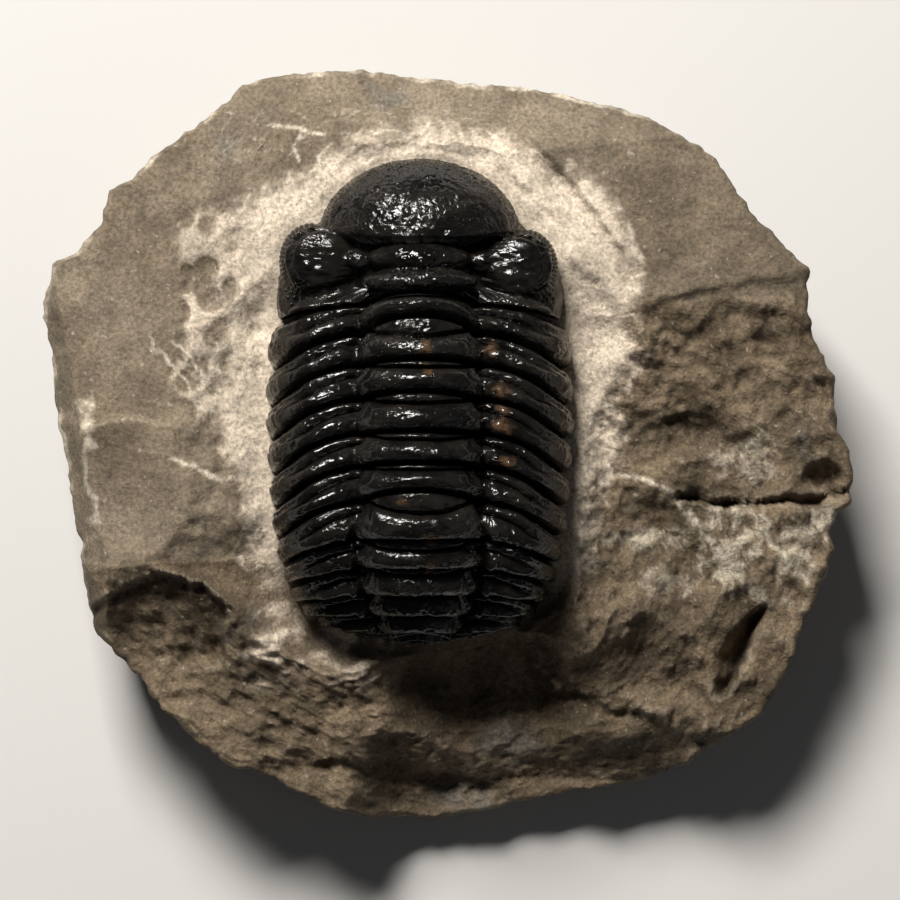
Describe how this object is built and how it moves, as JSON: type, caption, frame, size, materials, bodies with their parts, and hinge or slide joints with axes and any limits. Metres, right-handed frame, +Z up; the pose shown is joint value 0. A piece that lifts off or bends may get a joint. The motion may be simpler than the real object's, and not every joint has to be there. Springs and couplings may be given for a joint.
{
  "type": "trilobite fossil in matrix",
  "caption": "Partly enrolled trilobite in high relief on a rough limestone block, with head shield, jointed thorax and tail shield.",
  "frame": {"origin": "middle of the outline on the flat underside of the stone", "axes": "+Z up, out of the fossil's back; +Y along the trilobite towards its head; +X to the right, seen from above"},
  "size_m": [0.0804, 0.075, 0.0349],
  "materials": {
    "limestone": "rough broken grey-brown limestone",
    "black_calcite": "glossy black"
  },
  "bodies": {
    "root": {"matrix": "limestone", "cephalon": "black_calcite", "thorax_segment_01": "black_calcite", "thorax_segment_02": "black_calcite", "thorax_segment_03": "black_calcite", "thorax_segment_04": "black_calcite", "thorax_segment_05": "black_calcite", "thorax_segment_06": "black_calcite", "thorax_segment_07": "black_calcite", "thorax_segment_08": "black_calcite", "thorax_segment_09": "black_calcite", "thorax_segment_10": "black_calcite", "thorax_segment_11": "black_calcite", "pygidium": "black_calcite"}
  },
  "joints": []
}
